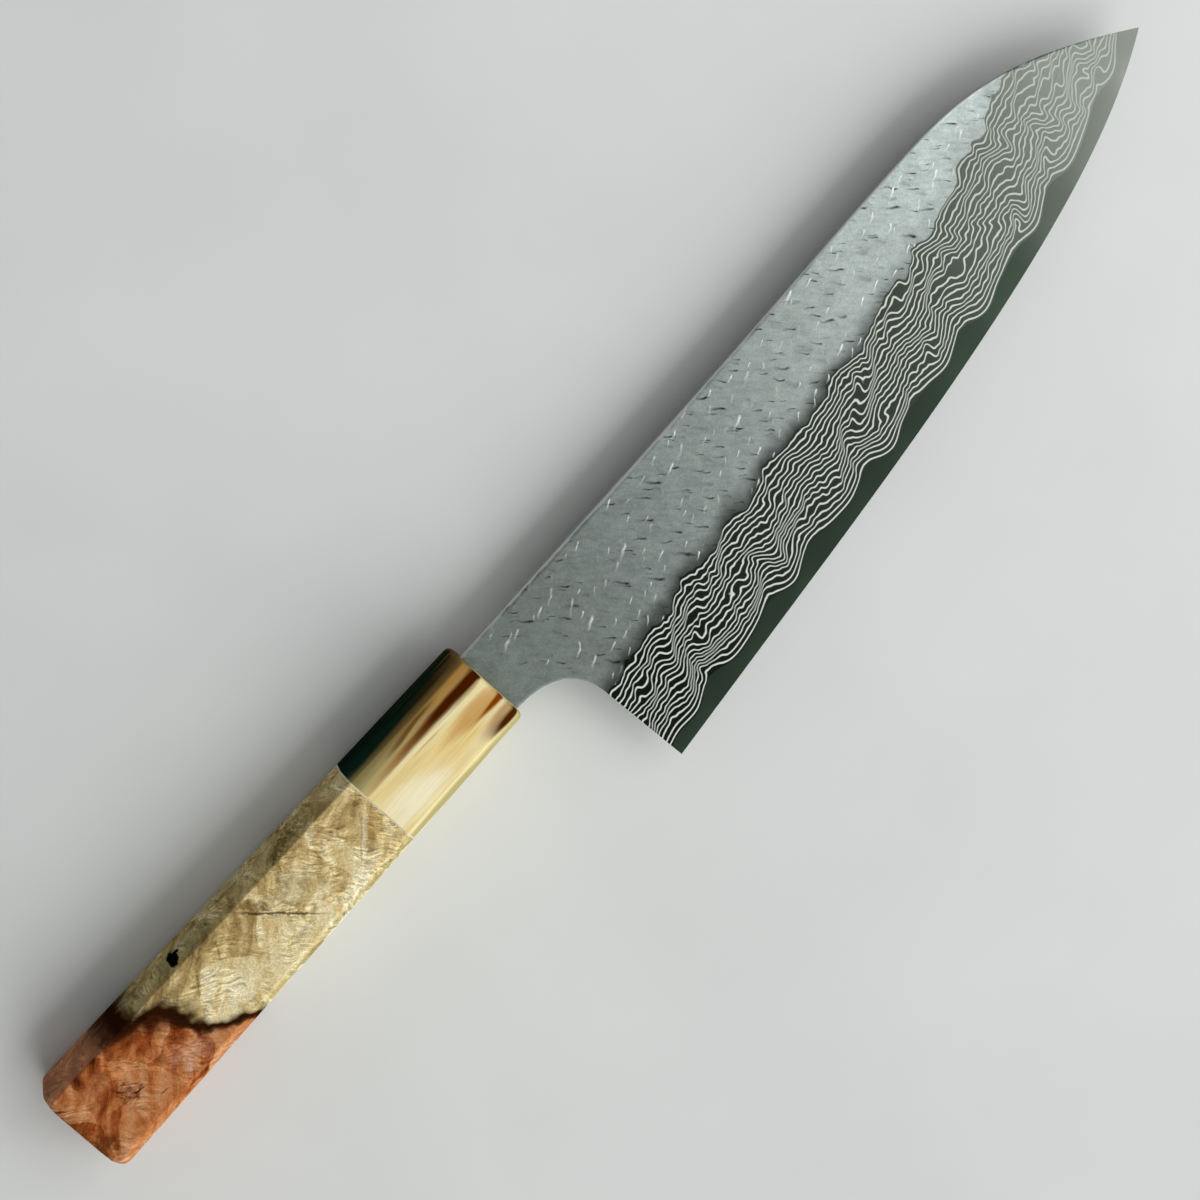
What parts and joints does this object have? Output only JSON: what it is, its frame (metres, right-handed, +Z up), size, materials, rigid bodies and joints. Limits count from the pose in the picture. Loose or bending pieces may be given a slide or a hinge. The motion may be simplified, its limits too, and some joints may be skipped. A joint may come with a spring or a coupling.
{
  "type": "gyuto knife",
  "caption": "Japanese chef's knife with a clad steel blade, hammered flats, a layered ground bevel, a horn ferrule and an octagonal burl wood handle.",
  "frame": {"origin": "on the surface that the knife lies on, under the middle of its box", "axes": "+X along the handle and blade to the tip, +Y towards the spine, +Z up, out of the blade's right face"},
  "size_m": [0.321, 0.0538, 0.0204],
  "materials": {
    "core_steel": "fine ground hard steel, dark satin",
    "cladding_steel": "etched layered steel below, blasted and hammered above",
    "horn": "polished cream horn with brown streaks",
    "spacer": "pale thin spacer",
    "burl": "stabilised burl, satin polished",
    "dowel_wood": "plain hardwood",
    "resin": "cured resin"
  },
  "bodies": {
    "root": {"core_steel": "core_steel", "right_cladding": "cladding_steel", "left_cladding": "cladding_steel", "horn_ferrule": "horn", "seam_spacer": "spacer", "handle_body": "burl", "tang_dowel": "dowel_wood", "tang_bond": "resin"}
  },
  "joints": []
}
